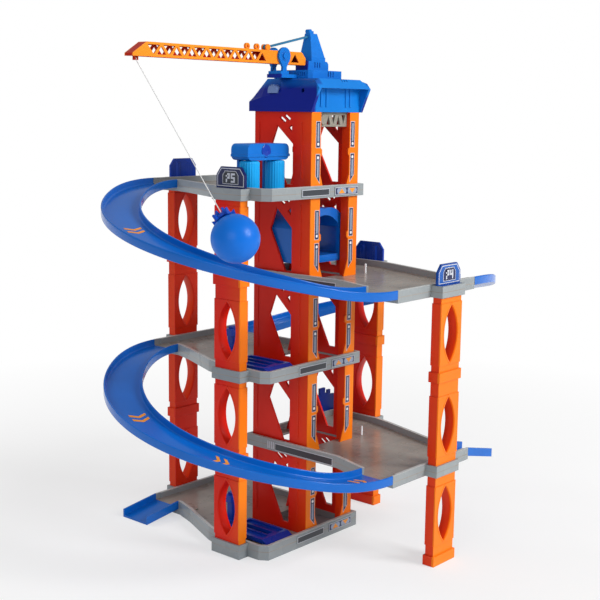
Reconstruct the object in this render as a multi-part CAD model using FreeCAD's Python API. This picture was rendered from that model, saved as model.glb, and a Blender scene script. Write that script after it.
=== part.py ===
import FreeCAD, Part
import math
import os

# Toy parking garage with a lift, five storeys, a turning crane on the roof.
# Millimetres. Origin on the floor under the centre of the lift shaft, +Z up.
# -Y is the front with the label plates, -X is the side with the big left ramps.

V = FreeCAD.Vector
UP = V(0, 0, 1)
os.makedirs("parts", exist_ok=True)

# Driving dimensions: storeys and decks
storey_pitch = 105.0
base_rim = 18.0
rim_drop = 8.0
floor_thick = 2.5
skirt_depth = 14.5
deck_wall = 2.5
pit_floor = 1.0
rim_width = 4.0
seat_gap = 0.3

# Driving dimensions: tower
tower_x = 88.0
tower_y = 90.0
panel_thick = 3.0
post_width = 17.0
post_depth = 12.0
shaft_margin = 0.5

# Driving dimensions: columns
column_wide = 40.0
column_thin = 11.5
column_mid_extra = 0.8
collar_extra = 2.0
collar_height = 12.0
oval_wide = 29.0
oval_high = 70.0
oval_chords = 7
ring_wall = 2.6
side_column_x = 130.5
side_column_y = 0.0
end_column_x = 21.0
end_column_y = 197.0

# Driving dimensions: ramps
odd_lane_out = 80.0
even_lane_out = 88.0
ramp_setback = 15.0
ramp_reach = 170.0
ramp_outer = 46.0
ramp_wall = 2.2
ramp_floor = 2.5
ramp_ease = 0.16
ramp_steps = 26
stub_run = 55.0
stub_drop = 13.0

# Driving dimensions: roof and crane
tower_head = 93.5
roof_high = 38.5
hood_deep = 27.5
roof_half_x = 48.0
crane_gap = 0.4
boom_tip_x = -281.0
boom_butt_x = -12.0
boom_lift = 6.0
boom_deep = 15.0
boom_half = 6.5
chord = 2.6
cord_inset = 9.0
cord_diameter = 1.0
ball_radius = 24.5
ball_reach = 226.0
swing_angle = 39.6
cord_drop = 2.5
roof_front = 59.0
crane_pin = 6.0
crane_pin_deep = 8.0
running = 0.05
turntable_half = 30.5
table_high = 10.0
arm_thick = 4.2
mast_high = 49.0
mast_right = 27.0
mast_half = 9.5
mast_left = -4.5
mast_slots = (1.0, 5.5, 10.0)
bracket_x = -52.5
bracket_head = 9.8
pin_radius = 2.5
pin_up = 9.5
truss_pitch = 22.0
truss_bays = 8
ring_xs = (-106.5, -90.5)
eye_x = -75.0
eye_radius = 3.7
rod_radius = 1.2
knob_y = 12.0
knob_wide = 15.0
knob_up = 21.5
girder_high = 17.0

# Driving dimensions: car wash
drum_left_x = -105.0
drum_right_x = -62.0
drum_y = -4.0
drum_radius = 12.0
drum_high = 35.0
drum_pin = 2.0
foot_plate = 2.2
housing_high = 19.0

# Driving dimensions: hoists
hoist_x = -82.0
hoist_back = 38.0
hoist_high = 34.0
hoist_wide = 46.0
hoist_long = 72.0

# Driving dimensions: lift cabin
cabin_x = 79.0
cabin_y = 62.0
cabin_floor = 8.6
cabin_high = 65.0
cabin_wall = 10.0
cabin_raise = 18.4

# The cord's place, and heights of the roof, the crane and the cabin, each from the one below it
cord_x = boom_tip_x + cord_inset
roof_low = base_rim + 4 * storey_pitch - rim_drop + tower_head
hood_lip = roof_low + hood_deep
crane_seat = roof_low + roof_high
mast_foot = crane_seat + table_high
mast_top = mast_foot + mast_high
boom_low = mast_foot + boom_lift
boom_high = boom_low + boom_deep
pin_z = boom_low + pin_up
eye_z = boom_high + eye_radius - 0.5
cord_z = boom_low - cord_drop
knob_low = roof_low + knob_up
cabin_rest = base_rim + 3 * storey_pitch - rim_drop + cabin_raise


def rim_of(level):
    return base_rim + (level - 1) * storey_pitch


def floor_of(level):
    return rim_of(level) - rim_drop


def under_of(level):
    return floor_of(level) - floor_thick


def box(x0, y0, z0, x1, y1, z1):
    return Part.makeBox(x1 - x0, y1 - y0, z1 - z0, V(x0, y0, z0))


def prism(points, z0, z1):
    # a closed plan outline raised from z0 to z1
    ring = [V(p[0], p[1], z0) for p in points]
    face = Part.Face(Part.makePolygon(ring + [ring[0]]))
    return face.extrude(V(0, 0, z1 - z0))


def plate(points, axis, low, high):
    # an outline in the plane square to the axis, thickened from low to high
    if axis == "x":
        ring = [V(low, p[0], p[1]) for p in points]
        way = V(high - low, 0, 0)
    else:
        ring = [V(p[0], low, p[1]) for p in points]
        way = V(0, high - low, 0)
    return Part.Face(Part.makePolygon(ring + [ring[0]])).extrude(way)


def skinned(rings):
    # a solid through closed rings of equal count, with flat faces only:
    # a side that is twisted gets two triangles
    faces = [Part.Face(Part.makePolygon(ring + [ring[0]])) for ring in (rings[0], rings[-1])]
    for low, high in zip(rings[:-1], rings[1:]):
        for i in range(len(low)):
            j = (i + 1) % len(low)
            a, b, c, d = low[i], low[j], high[j], high[i]
            normal = (b - a).cross(d - a)
            if abs(normal.dot(c - a)) < 1e-7 * normal.Length:
                faces.append(Part.Face(Part.makePolygon([a, b, c, d, a])))
            else:
                faces.append(Part.Face(Part.makePolygon([a, b, c, a])))
                faces.append(Part.Face(Part.makePolygon([a, c, d, a])))
    solid = Part.makeSolid(Part.makeShell(faces))
    if solid.Volume < 0:
        solid.reverse()
    return solid


def circle_points(cx, cy, radius, sides):
    step = 360.0 / sides
    angles = [math.radians(step * i + step / 2) for i in range(sides)]
    return [(cx + radius * math.cos(a), cy + radius * math.sin(a)) for a in angles]


def turned(shape, angle):
    copy = shape.copy()
    copy.rotate(V(0, 0, 0), UP, angle)
    return copy


def fused(shapes):
    whole = shapes[0]
    if len(shapes) > 1:
        whole = whole.multiFuse(shapes[1:])
    return whole.removeSplitter()


def cut(shape, tools):
    return shape.cut(tools).removeSplitter()


def save(shape, name):
    shape.exportStep("parts/" + name + ".step")


# Deck outlines
# Odd decks reach out to the left and the back, even decks are turned half round.

deck_right = tower_x / 2 + 6.0
deck_front = tower_y / 2 + 4.5
deck_left = side_column_x - column_thin / 2 - 1.5
deck_back = end_column_y - column_thin / 2 - 1.25
lane_y = deck_back - ramp_outer / 2


def lane_out(level):
    # how far left of the tower a ramp leaves the deck
    return odd_lane_out if level % 2 else even_lane_out


def lane_in(level):
    # how far right of the tower a ramp from above reaches the deck
    return lane_out(level + 1) - ramp_setback


def deck_outline(level):
    lane_edge = deck_back - ramp_outer
    out_x = lane_out(level)
    in_x = lane_in(level)
    return [
        (deck_right, -deck_front),
        (-deck_left + 7.0, -deck_front),
        (-deck_left, -deck_front + 10.0),
        (-deck_left, 26.0),
        (-deck_left + 6.0, 50.0),
        (-out_x - 10.0, 112.0),
        (-out_x, lane_edge - 2.0),
        (-out_x, deck_back),
        (in_x, deck_back),
        (in_x, lane_edge),
        (deck_right, 96.0),
    ]


def rounded_outline(points, inset):
    # the outline as a face, drawn in by inset
    ring = [V(p[0], p[1], 0) for p in points]
    face = Part.Face(Part.makePolygon(ring + [ring[0]]))
    if inset == 0:
        return face
    return face.makeOffset2D(-inset, 2)


def deck_tray(level, rim, skirt):
    outline = deck_outline(level)
    full = rounded_outline(outline, 0)
    inner = rounded_outline(outline, deck_wall)
    strip = rounded_outline(outline, rim_width)
    body = full.extrude(V(0, 0, skirt))
    body.translate(V(0, 0, rim - skirt))
    well = strip.extrude(V(0, 0, rim_drop + 1.0))
    well.translate(V(0, 0, rim - rim_drop))
    low = inner.extrude(V(0, 0, skirt - rim_drop - floor_thick))
    low.translate(V(0, 0, rim - skirt))
    return cut(body, [well, low])


def column_places():
    # the two columns that carry an odd deck: plan centre and whether wide along Y
    return [
        (-side_column_x, -side_column_y, True),
        (-end_column_x, end_column_y, False),
    ]


def half_sizes(wide_y, extra):
    a = column_wide / 2 + extra
    b = column_thin / 2 + extra
    if wide_y:
        return b, a
    return a, b


def block_at(x, y, wide_y, extra, z0, z1):
    hx, hy = half_sizes(wide_y, extra)
    return box(x - hx, y - hy, z0, x + hx, y + hy, z1)


def deck(level):
    rim = rim_of(level)
    skirt = skirt_depth
    if level == 1:
        skirt = base_rim
    tray = deck_tray(level, rim, skirt)
    low = rim - skirt
    adds = []
    cuts = []
    # rings that hold the columns
    for x, y, wide_y in column_places():
        adds.append(block_at(x, y, wide_y, ring_wall + seat_gap, low, rim - 1.0))
        if level == 1:
            cuts.append(block_at(x, y, wide_y, seat_gap, floor_thick, rim))
        else:
            cuts.append(block_at(x, y, wide_y, seat_gap, low - 1.0, rim))
    # lane mouths where the ramps meet the deck
    half = ramp_outer / 2 - ramp_wall
    floor = rim - rim_drop
    out_x = lane_out(level)
    in_x = lane_in(level)
    cuts.append(box(-out_x - 2.0, lane_y - half, floor, -out_x + 8.0, lane_y + half, rim + 1.0))
    if level < 5:
        cuts.append(box(in_x - 8.0, lane_y - half, floor, in_x + 2.0, lane_y + half, rim + 1.0))
    # shaft well through the floor
    sx = tower_x / 2 - panel_thick - shaft_margin
    sy = tower_y / 2 - post_depth - shaft_margin
    if level == 1:
        adds.append(box(-sx - deck_wall, -sy - deck_wall, 0.0, sx + deck_wall, sy + deck_wall, floor))
        cuts.append(box(-sx, -sy, pit_floor, sx, sy, rim + 1.0))
    else:
        cuts.append(box(-sx, -sy, low - 1.0, sx, sy, rim + 1.0))
    body = fused([tray] + adds)
    body = cut(body, cuts)
    # ribs under the floor, square to each other
    if level > 1:
        ribs = []
        for y in (75.0, 115.0):
            ribs.append(box(-60.0, y, rim - skirt + 1.5, 40.0, y + 2.0, rim - rim_drop - floor_thick))
        body = fused([body] + ribs)
    # label plate, arrow plate and bosses on the front strip
    labels = [
        box(-66.0, -deck_front - 1.0, rim - 12.0, -16.0, -deck_front, rim - 3.0),
        box(-6.0, -deck_front - 1.0, rim - 12.5, 38.0, -deck_front, rim - 2.5),
    ]
    body = fused([body] + labels)
    if level % 2 == 0:
        body = turned(body, 180)
    return body


# Tower walls: one left and one right wall per storey, posts at both ends

def window_outline(high):
    # gothic window in wall coordinates: y from the front, z from the wall's foot
    y_of = lambda u: tower_y / 2 - u * tower_y
    return [
        (y_of(0.56), 0.09 * high),
        (y_of(0.68), 0.09 * high),
        (y_of(0.68), 0.60 * high),
        (y_of(0.40), 0.83 * high),
        (y_of(0.29), 0.57 * high),
    ]


def slot_outline(u, v, length, width, high):
    # a slanted slot along the brace above the window
    slope = math.radians(-35.0)
    cy = tower_y / 2 - u * tower_y
    cz = v * high
    dy = -math.cos(slope) * length / 2
    dz = math.sin(slope) * length / 2
    ny = -dz * width / length
    nz = dy * width / length
    return [
        (cy - dy - ny, cz - dz - nz),
        (cy + dy - ny, cz + dz - nz),
        (cy + dy + ny, cz + dz + nz),
        (cy - dy + ny, cz - dz + nz),
    ]


def tower_wall(level):
    # the left wall, the right one is its mirror image
    z0 = floor_of(level)
    z1 = roof_low
    if level < 5:
        z1 = under_of(level + 1)
    high = z1 - z0
    x0 = -tower_x / 2
    y0 = -tower_y / 2
    y1 = tower_y / 2
    panel = box(x0, y0, z0, x0 + panel_thick, y1, z1)
    holes = [window_outline(high)]
    holes.append(slot_outline(0.50, 0.905, 10.0, 3.6, high))
    holes.append(slot_outline(0.58, 0.93, 10.0, 3.6, high))
    holes.append([(y1 - 0.60 * tower_y, 0.80 * high), (y1 - 0.66 * tower_y, 0.74 * high),
                  (y1 - 0.66 * tower_y, 0.84 * high)])
    tools = []
    for outline in holes:
        shifted = [(p[0], p[1] + z0) for p in outline]
        tools.append(plate(shifted, "x", x0 - 1.0, x0 + panel_thick + 1.0))
    panel = cut(panel, tools)
    front = box(x0, y0, z0, x0 + post_width, y0 + post_depth, z1)
    back = box(x0, y1 - post_depth, z0, x0 + post_width, y1, z1)
    parts = [panel, front, back]
    # gusset at the foot of each post, and a small tab half way up
    reach = 7.0
    foot = x0 + post_width
    mid = z0 + high * 0.5
    for a, b in ((y0, y0 + 3.0), (y1 - 3.0, y1)):
        gusset = [(foot, z0), (foot + reach, z0), (foot, z0 + 20.0)]
        parts.append(plate(gusset, "y", a, b))
        tab = [(foot, mid - 5.0), (foot + 2.5, mid - 3.0), (foot + 2.5, mid + 3.0), (foot, mid + 5.0)]
        parts.append(plate(tab, "y", a, b))
    # guide ribs for the cabin, and ribs on the outer face
    rib_in = cabin_x / 2 + seat_gap
    for y in (-26.0, 25.0):
        parts.append(box(x0 + panel_thick, y - 1.5, z0, -rib_in, y + 1.5, z1))
    for y in (y0 + 15.0, y1 - 7.0):
        parts.append(box(x0 - 0.8, y - 0.8, z0 + 16.0, x0, y + 0.8, z1 - 12.0))
    return fused(parts)


def mirrored(shape):
    return shape.mirror(V(0, 0, 0), V(1, 0, 0))


# Columns: stacked rectangular tubes with an oval window through the wide faces

def oval_prism(x, y, wide_y, zc, wide, high, depth):
    # two arcs that meet in soft points at the top and the foot, in short chords
    radius = (high * high + wide * wide) / (4 * wide)
    spread = math.asin(high / 2 / radius)
    outline = []
    for side in (1, -1):
        for i in range(oval_chords):
            a = side * spread * (2.0 * i / oval_chords - 1.0)
            outline.append((side * (radius * math.cos(a) - radius + wide / 2), zc + radius * math.sin(a)))
    if wide_y:
        return plate([(y + p, z) for p, z in outline], "x", x - depth / 2, x + depth / 2)
    return plate([(x + p, z) for p, z in outline], "y", y - depth / 2, y + depth / 2)


def column_segment(x, y, wide_y, z0, z1, collar_low):
    zc = (z0 + z1) / 2
    if collar_low:
        zc += collar_height / 4
    parts = [block_at(x, y, wide_y, 0.0, z0, z1)]
    mid = oval_high / 2 + 1.0
    parts.append(block_at(x, y, wide_y, column_mid_extra, zc - mid, zc + mid))
    if collar_low:
        parts.append(block_at(x, y, wide_y, collar_extra, z0, z0 + collar_height))
    body = fused(parts)
    hole = oval_prism(x, y, wide_y, zc, oval_wide, oval_high, column_thin + 10.0)
    return cut(body, [hole])


def column_joints(ground_based):
    # heights at which the segments of a column meet
    joints = []
    if ground_based:
        joints.append(0.0)
        for level in (2, 3, 4):
            joints.append(rim_of(level) - 8.0)
    else:
        joints.append(floor_thick)
        for level in (2, 3, 4, 5):
            joints.append(rim_of(level) - 8.0)
    return joints


# Signs that cap the columns

def sign(x, y, wide_y, z0, bulges):
    half = 22.5
    high = 24.0
    corner = 7.0
    foot = 7.0
    outline = [(-half, 0), (half, 0), (half, high - corner - 2.0), (half - corner, high),
               (-half + corner, high), (-half, high - corner - 2.0)]
    thick = 3.0
    if wide_y:
        shifted = [(y + p[0], z0 + p[1]) for p in outline]
        body = plate(shifted, "x", x - thick / 2, x + thick / 2)
    else:
        shifted = [(x + p[0], z0 + p[1]) for p in outline]
        body = plate(shifted, "y", y - thick / 2, y + thick / 2)
    plug = block_at(x, y, wide_y, 0.0, z0 - foot, z0)
    parts = [body, plug]
    if bulges:
        for side in (-10.0, 10.0):
            cx, cy = (x, y + side) if wide_y else (x + side, y)
            parts.append(prism(circle_points(cx, cy, 4.2, 8), z0, z0 + high - 5.0))
    return fused(parts)


# Ramps: a U-shaped lane swept round half a turn while it comes down one storey

def ease(t):
    # level near both ends and an even slope between
    e = ramp_ease
    if t < e:
        return t * t / (2 * e * (1 - e))
    if t > 1 - e:
        return 1 - (1 - t) * (1 - t) / (2 * e * (1 - e))
    return (t - e / 2) / (1 - e)


def lane_section(px, py, nx, ny, z_rim):
    # closed U profile, n points to the outside of the bend
    half = ramp_outer / 2
    inner = half - ramp_wall
    low = z_rim - rim_drop - ramp_floor
    floor = low + ramp_floor
    flat = [(-half, low), (half, low), (half, z_rim), (inner, z_rim), (inner, floor),
            (-inner, floor), (-inner, z_rim), (-half, z_rim)]
    return [V(px + nx * a, py + ny * a, z) for a, z in flat]


def ramp_path(start):
    # plan points and outward normals from the upper deck to the lower one
    cx = -start - seat_gap / 3 + ramp_setback / 2
    first = (-start - seat_gap / 3, lane_y, 0.0, 1.0)
    last = (-start + ramp_setback - seat_gap / 3, -lane_y, 0.0, -1.0)
    points = []
    for i in range(ramp_steps + 1):
        a = math.pi / 2 + math.pi * i / ramp_steps
        nx = math.cos(a) / ramp_reach
        ny = math.sin(a) / lane_y
        size = math.hypot(nx, ny)
        x = cx + ramp_reach * math.cos(a)
        if x < (first[0] if i < ramp_steps / 2 else last[0]) - 6.0:
            points.append((x, lane_y * math.sin(a), nx / size, ny / size))
    return [first] + points + [last]


def curved_ramp(top_rim, low_rim, start):
    path = ramp_path(start)
    dist = [0.0]
    for a, b in zip(path[:-1], path[1:]):
        dist.append(dist[-1] + math.hypot(b[0] - a[0], b[1] - a[1]))
    sections = []
    for p, d in zip(path, dist):
        z = top_rim + (low_rim - top_rim) * ease(d / dist[-1])
        sections.append(lane_section(p[0], p[1], p[2], p[3], z))
    return skinned(sections)


def exit_ramp(rim, low_rim, start):
    x0 = -start - seat_gap / 3
    x1 = x0 - stub_run
    return skinned([lane_section(x0, lane_y, 0.0, 1.0, rim), lane_section(x1, lane_y, 0.0, 1.0, low_rim)])


for level in range(1, 6):
    save(deck(level), "deck_p%d" % level)
    wall = tower_wall(level)
    save(wall, "tower_wall_left_p%d" % level)
    save(mirrored(wall), "tower_wall_right_p%d" % level)

columns = {
    "front_left": (-side_column_x, -side_column_y, True, False),
    "rear_left": (-end_column_x, end_column_y, False, False),
    "rear_right": (side_column_x, side_column_y, True, True),
    "front_right": (end_column_x, -end_column_y, False, True),
}
for name, (x, y, wide_y, ground_based) in columns.items():
    joints = column_joints(ground_based)
    for i in range(len(joints) - 1):
        collar = ground_based and i in (0, 2) or (not ground_based and i in (1, 3))
        segment = column_segment(x, y, wide_y, joints[i], joints[i + 1], collar)
        save(segment, "column_%s_%d" % (name, i + 1))
    top = joints[-1]
    save(sign(x, y, wide_y, top + 7.0, name.startswith("rear")), "sign_" + name)

save(curved_ramp(rim_of(5), rim_of(4), lane_out(5)), "ramp_p5_p4")
save(turned(curved_ramp(rim_of(4), rim_of(3), lane_out(4)), 180), "ramp_p4_p3")
save(curved_ramp(rim_of(3), rim_of(2), lane_out(3)), "ramp_p3_p2")
save(exit_ramp(rim_of(1), rim_drop + ramp_floor, lane_out(1)), "exit_ramp_p1")
save(turned(exit_ramp(rim_of(2), rim_of(2) - stub_drop, lane_out(2)), 180), "exit_ramp_p2")

# Roof housing over the tower: a hood that overhangs the lift opening and slopes to the back

def hood_section(y, z_crease, z_top, x_top):
    return [V(-roof_half_x, y, roof_low), V(-roof_half_x, y, z_crease), V(-x_top, y, z_top),
            V(x_top, y, z_top), V(roof_half_x, y, z_crease), V(roof_half_x, y, roof_low)]


def roof_housing():
    front = -roof_front
    ridge = crane_seat
    body = skinned([
        hood_section(front, ridge - 3.0, ridge, 39.0),
        hood_section(turntable_half + 1.0, ridge - 22.0, ridge, 37.0),
        hood_section(deck_front + 2.0, roof_low + 11.0, roof_low + 16.0, 41.0)])
    # the front leans forward up to the lip and back again above it
    foot_y = -tower_y / 2 - 2.0
    lean = [(front - 1.0, roof_low - 1.0), (foot_y, roof_low - 1.0), (foot_y, roof_low), (front, hood_lip),
            (front + 9.0, ridge), (front + 9.0, ridge + 1.0), (front - 1.0, ridge + 1.0)]
    body = body.cut(plate(lean, "x", -roof_half_x - 9.0, roof_half_x + 9.0))
    # recess under the hood, with upright ribs on its back
    inset = 4.0
    back = -tower_y / 2 - seat_gap
    body = body.cut(box(-roof_half_x + inset, front - 1.0, roof_low - 1.0,
                        roof_half_x - inset, back, hood_lip))
    ribs = []
    for x in (-30.0, -20.0, 16.0, 24.0):
        ribs.append(box(x, back - 1.2, roof_low + 6.0, x + 3.0, back + 1.0, hood_lip + 1.0))
    body = body.fuse(ribs)
    # socket for the crane, grooves on the hood and screw wells in the left slope
    deep = crane_pin_deep + seat_gap
    tools = [Part.makeCylinder(crane_pin + running, deep, V(0, 0, ridge - deep))]
    for x in mast_slots:
        tools.append(box(x, front + 3.0, ridge - 3.0, x + 1.6, front + 14.0, ridge + 1.0))
    for y in (22.0, -34.0):
        hole = circle_points(y, knob_low + 3.0, 2.6, 10)
        tools.append(plate(hole, "x", -roof_half_x - 4.0, -roof_half_x + 16.0))
    # seat for the half-round knob in the left slope
    tools.append(box(-roof_half_x - 6.0, knob_y - knob_wide / 2 - seat_gap, knob_low - seat_gap,
                     -roof_half_x + 6.0 + seat_gap, knob_y + knob_wide / 2 + seat_gap, ridge + 1.0))
    return cut(body, tools)


def roof_knob():
    # half-round grip standing in its seat on the left slope
    x0 = -roof_half_x - 2.0
    x1 = -roof_half_x + 6.0
    r = knob_wide / 2
    disc = Part.makeCylinder(r, x1 - x0, V(x0, knob_y, knob_low + 2.5), V(1, 0, 0))
    foot = box(x0, knob_y - r, knob_low, x1, knob_y + r, knob_low + 2.5)
    upper = box(x0, knob_y - r, knob_low + 2.5, x1, knob_y + r, knob_low + 2.5 + r)
    body = foot.fuse(disc.common(upper))
    grooves = []
    for y in (-3.0, 0.0, 3.0):
        grooves.append(box(x0 - 1.0, knob_y + y - 0.5, knob_low + 8.0,
                           x0 + 1.0, knob_y + y + 0.5, knob_low + 20.0))
    return cut(body, grooves)


def lift_girder():
    # truss across the top of the lift opening, with a guide roller at its left end
    half = tower_x / 2 - post_width - seat_gap
    y0 = -tower_y / 2 + 5.0
    z1 = roof_low
    z0 = z1 - girder_high
    body = box(-half, y0, z0, half, y0 + 3.0, z1)
    holes = []
    count = 4
    pitch = (2 * half - 16.0) / count
    for i in range(count):
        x = -half + 14.0 + i * pitch
        a = (x + 1.2, z0 + 2.5)
        b = (x + pitch - 1.2, z0 + 2.5)
        c = (x + pitch / 2, z1 - 4.0)
        if i % 2:
            a = (x + 1.2, z1 - 3.5)
            b = (x + pitch - 1.2, z1 - 3.5)
            c = (x + pitch / 2, z0 + 3.0)
        holes.append(plate([a, b, c], "y", y0 - 1.0, y0 + 4.0))
    body = cut(body, holes)
    roller = Part.makeCylinder(5.5, 3.5, V(-half + 6.5, y0 - 3.3, z1 - 9.0), V(0, 1, 0))
    return fused([body, roller])


# Crane: turntable, mast, bracket with its pin, boom and tie rod

def crane_turntable():
    z0 = crane_seat + crane_gap
    z1 = mast_foot
    h = turntable_half
    c = 4.0
    outline = [(-h, -h + c), (-h + c, -h), (h - c, -h), (h, -h + c),
               (h, h - c), (h - c, h), (-h + c, h), (-h, h - c)]
    block = prism(outline, z0, z1)
    arm = box(bracket_x - 8.0, -11.0, z0, -h + 1.0, 11.0, z0 + arm_thick)
    pin = Part.makeCylinder(crane_pin, crane_pin_deep + crane_gap, V(0, 0, crane_seat - crane_pin_deep))
    body = fused([block, arm, pin])
    tools = []
    # vents on the left side and grooves on the front
    for i in range(6):
        y = -22.0 + i * 3.0
        tools.append(box(-h - 1.0, y, z0 + 2.5, -h + 1.5, y + 1.4, z1 - 2.0))
    for x in mast_slots:
        tools.append(box(x, -h - 1.0, z0 + 2.0, x + 1.6, -h + 1.2, z1 - 1.0))
    return cut(body, tools)


def mast_section(z, x0, x1, half):
    return [V(x0, -half, z), V(x1, -half, z), V(x1, half, z), V(x0, half, z)]


def crane_mast():
    # a foot block and a tower that tapers on all four sides
    shoulder = mast_foot + 11.5
    step_top = shoulder + 4.5
    left = boom_butt_x + seat_gap
    side = [(left, mast_foot), (mast_right, mast_foot), (mast_right, shoulder - 3.0),
            (mast_right - 2.5, shoulder), (left, shoulder)]
    foot = plate(side, "y", -mast_half, mast_half)
    step = box(mast_left, -mast_half, shoulder - 0.5, mast_right - 6.0, mast_half, step_top)
    tower = skinned([mast_section(step_top, mast_left, mast_right - 7.0, mast_half),
                     mast_section(mast_top - 5.0, mast_left + 3.0, 11.0, 4.2)])
    cap = box(mast_left + 3.0, -3.2, mast_top - 5.5, 6.0, 3.2, mast_top - 2.0)
    knob = Part.makeCylinder(2.6, 6.4, V(0.5, -3.2, mast_top - 2.6), V(0, 1, 0))
    body = fused([foot, step, tower, cap, knob])
    tools = []
    for x in mast_slots:
        tools.append(box(x, -mast_half - 1.0, mast_foot + 4.0, x + 1.6, -mast_half + 1.2, shoulder - 1.5))
    tools.append(rod_bar(seat_gap / 3))
    return cut(body, tools)


def rod_ends():
    return (eye_x, eye_z), (mast_left + 7.0, mast_top - 8.0)


def teardrop(axis_low, axis_high):
    z = pin_z
    x = bracket_x
    head = plate(circle_points(x, z, bracket_head, 20), "y", axis_low, axis_high)
    foot = crane_seat + crane_gap + arm_thick
    leg = plate([(x - 4.0, foot), (x + 4.0, foot), (x + 3.2, foot + 8.0), (x + 8.2, z - 5.5),
                 (x - 8.2, z - 5.5), (x - 3.2, foot + 8.0)], "y", axis_low, axis_high)
    return head.fuse(leg)


def boom_bracket():
    inner = boom_half + seat_gap
    outer = inner + 3.0
    foot = crane_seat + crane_gap + arm_thick
    parts = [teardrop(-outer, -inner), teardrop(inner, outer),
             box(bracket_x - 7.0, -outer, foot, bracket_x + 7.0, outer, foot + 3.5)]
    body = fused(parts)
    bore = Part.makeCylinder(pin_radius + running, 2 * outer + 2.0,
                             V(bracket_x, -outer - 1.0, pin_z), V(0, 1, 0))
    return cut(body, [bore])


def boom_pin():
    outer = boom_half + seat_gap + 3.0
    shank = Part.makeCylinder(pin_radius, 2 * outer + 2.0, V(bracket_x, -outer - 1.0, pin_z), V(0, 1, 0))
    ring = circle_points(bracket_x, pin_z, pin_radius + 1.4, 12)
    head = plate(ring, "y", -outer - 1.4 - seat_gap, -outer - seat_gap)
    tail = plate(ring, "y", outer + seat_gap, outer + seat_gap + 1.4)
    return fused([shank, head, tail])


def boom():
    x0 = boom_tip_x
    x1 = boom_butt_x
    z0 = boom_low
    z1 = boom_high
    side = [(x0, z0), (x1 - 1.0, z0), (x1, z0 + 2.0), (x1, z1 - 7.0),
            (x1 - 7.0, z1), (x0 + 19.0, z1), (x0, z0 + 3.0)]
    body = plate(side, "y", -boom_half, boom_half)
    wall = 1.8
    hollow = [(x0 + 12.0, z0 - 1.0), (x1 - 5.0, z0 - 1.0), (x1 - 5.0, z1 - wall), (x0 + 19.0, z1 - wall),
              (x0 + 12.0, z0 + 5.0)]
    tools = [plate(hollow, "y", -boom_half + wall, boom_half - wall)]
    # triangular windows through both sides
    start = x0 + 20.0
    pitch = truss_pitch
    low = z0 + chord
    high = z1 - chord
    for i in range(truss_bays):
        x = start + i * pitch
        tools.append(plate([(x, high), (x + pitch - 5.0, high), (x + pitch / 2 - 2.5, low)], "y",
                           -boom_half - 1.0, boom_half + 1.0))
        tools.append(plate([(x + pitch / 2 + 2.0, low), (x + 1.5 * pitch - 7.0, low),
                            (x + pitch - 2.5, high - 1.0)], "y", -boom_half - 1.0, boom_half + 1.0))
    tools.append(plate([(x1 - 26.0, low), (x1 - 12.0, low), (x1 - 19.0, high)], "y",
                       -boom_half - 1.0, -boom_half + wall + 0.1))
    tools.append(Part.makeCylinder(pin_radius + running, 2 * boom_half + 2.0,
                                   V(bracket_x, -boom_half - 1.0, pin_z), V(0, 1, 0)))
    body = cut(body, tools)
    # solid boss round the pin, rings and the ears for the tie rod on the top chord
    boss = plate(circle_points(bracket_x, pin_z, pin_radius + 2.6, 12), "y", -boom_half, boom_half)
    boss = boss.cut(Part.makeCylinder(pin_radius + running, 2 * boom_half,
                                      V(bracket_x, -boom_half, pin_z), V(0, 1, 0)))
    parts = [body, boss]
    for x in ring_xs:
        outer = plate(circle_points(x, eye_z, eye_radius, 12), "y", -1.5, 1.5)
        parts.append(outer.cut(plate(circle_points(x, eye_z, 1.8, 8), "y", -1.5, 1.5)))
    for y in (-4.0, 2.0):
        parts.append(plate(circle_points(eye_x, eye_z, eye_radius, 12), "y", y, y + 2.0))
    parts.append(plate(circle_points(eye_x, eye_z, 1.5, 8), "y", -3.0, 3.0))
    # ears and cross pin under the nose, where the cord is looped
    for x in (cord_x - 2.4, cord_x + 1.2):
        parts.append(box(x, -1.8, cord_z - 1.6, x + 1.2, 1.8, boom_low + 0.5))
    parts.append(plate(circle_points(0, cord_z, 0.7, 8), "x", cord_x - 1.8, cord_x + 1.8))
    return fused(parts)


def rod_bar(gap):
    # the stay as a square bar from its eye to the mast, grown all round by the gap
    a, b = rod_ends()
    length = math.hypot(b[0] - a[0], b[1] - a[1])
    half = rod_radius + gap
    bar = box(2.6, -half, -half, length + gap, half, half)
    bar.rotate(V(0, 0, 0), V(0, -1, 0), math.degrees(math.atan2(b[1] - a[1], b[0] - a[0])))
    bar.translate(V(a[0], 0, a[1]))
    return bar


def tie_rod():
    eye = plate(circle_points(eye_x, eye_z, eye_radius - seat_gap, 12), "y", -1.5, 1.5)
    hole = plate(circle_points(eye_x, eye_z, 1.5 + seat_gap, 8), "y", -1.5, 1.5)
    return cut(fused([eye, rod_bar(0.0)]), [hole])


# Wrecking ball on its cord, built hanging and turned to the height it is shown at

def swung(shape):
    copy = shape.copy()
    copy.rotate(V(cord_x, 0, cord_z), V(1, 0, 0), -swing_angle)
    return copy


def ball_rings(sides):
    # rings of the faceted ball, with a small flat pad at the top and the foot
    rings = []
    for i in range(13):
        a = math.radians(-82.0 + 164.0 * i / 12)
        points = circle_points(0, 0, ball_radius * math.cos(a), sides)
        rings.append([V(x, y, ball_radius * math.sin(a)) for x, y in points])
    return rings


def wrecking_ball():
    ball = skinned(ball_rings(24))
    ball.translate(V(cord_x, 0, cord_z - ball_reach))
    return swung(ball)


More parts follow.
